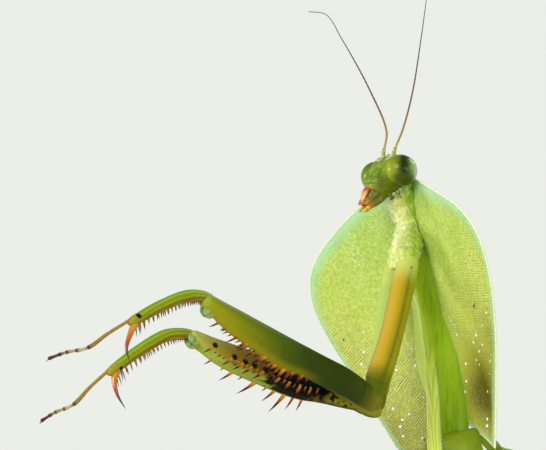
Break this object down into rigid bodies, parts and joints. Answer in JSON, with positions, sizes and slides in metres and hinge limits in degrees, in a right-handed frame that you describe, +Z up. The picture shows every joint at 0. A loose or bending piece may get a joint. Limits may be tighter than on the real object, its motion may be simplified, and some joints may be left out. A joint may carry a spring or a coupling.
{
  "type": "praying mantis",
  "caption": "Life-size still model of a shield mantis with a broad leaf-like pronotum, standing with raised spiny raptorial legs.",
  "frame": {"origin": "centre of the bounding box of the whole animal, at floor level under its feet", "axes": "+Z up, the animal faces -Y, its left side is +X; body and folded wings trail towards +Y"},
  "size_m": [0.0482, 0.086, 0.0614],
  "materials": {
    "shield_green": "glossy, finely pebbled yellow-green leaf-like cuticle with a pale mint rim",
    "body_green": "satin green cuticle",
    "leg_green": "glossy green cuticle, orange spines with black tips",
    "head_green": "glossy bright green cuticle",
    "eye": "smooth glossy green compound eye with a dark false pupil",
    "labrum_red": "glossy red-orange",
    "mouth_orange": "glossy orange with brown lines",
    "antenna": "red-brown thread on a pale yellow-green root",
    "membrane": "moist pale folded neck membrane",
    "coxa_yellow": "golden yellow cuticle with small dark dots",
    "foot_gold": "golden cuticle with dark joints",
    "wing_green": "leathery veined leaf-green forewing",
    "hindwing_clear": "thin pale veined hindwing"
  },
  "bodies": {
    "root": {"head": "head_green", "eye_left": "eye", "eye_right": "eye", "labrum": "labrum_red", "lower_lip": "mouth_orange", "mandible_left": "mouth_orange", "mandible_right": "mouth_orange", "palp_left": "mouth_orange", "palp_right": "mouth_orange", "antenna_left": "antenna", "antenna_right": "antenna", "neck": "membrane", "prothorax": "body_green", "pronotum_shield": "shield_green", "fore_coxa_left": "coxa_yellow", "fore_trochanter_left": "leg_green", "fore_femur_left": "leg_green", "fore_tibia_left": "leg_green", "fore_tarsus_left": "foot_gold", "fore_coxa_right": "coxa_yellow", "fore_trochanter_right": "leg_green", "fore_femur_right": "leg_green", "fore_tibia_right": "leg_green", "fore_tarsus_right": "foot_gold", "mesothorax": "body_green", "metathorax": "body_green", "abdomen_1": "body_green", "abdomen_2": "body_green", "abdomen_3": "body_green", "abdomen_4": "body_green", "abdomen_5": "body_green", "abdomen_6": "body_green", "abdomen_tip": "body_green", "cercus_left": "body_green", "cercus_right": "body_green", "tegmen_left": "wing_green", "tegmen_right": "wing_green", "hindwing_left": "hindwing_clear", "hindwing_right": "hindwing_clear", "mid_coxa_left": "body_green", "mid_femur_left": "leg_green", "mid_tibia_left": "leg_green", "mid_tarsus_left": "foot_gold", "hind_coxa_left": "body_green", "hind_femur_left": "leg_green", "hind_tibia_left": "leg_green", "hind_tarsus_left": "foot_gold", "mid_coxa_right": "body_green", "mid_femur_right": "leg_green", "mid_tibia_right": "leg_green", "mid_tarsus_right": "foot_gold", "hind_coxa_right": "body_green", "hind_femur_right": "leg_green", "hind_tibia_right": "leg_green", "hind_tarsus_right": "foot_gold"}
  },
  "joints": []
}
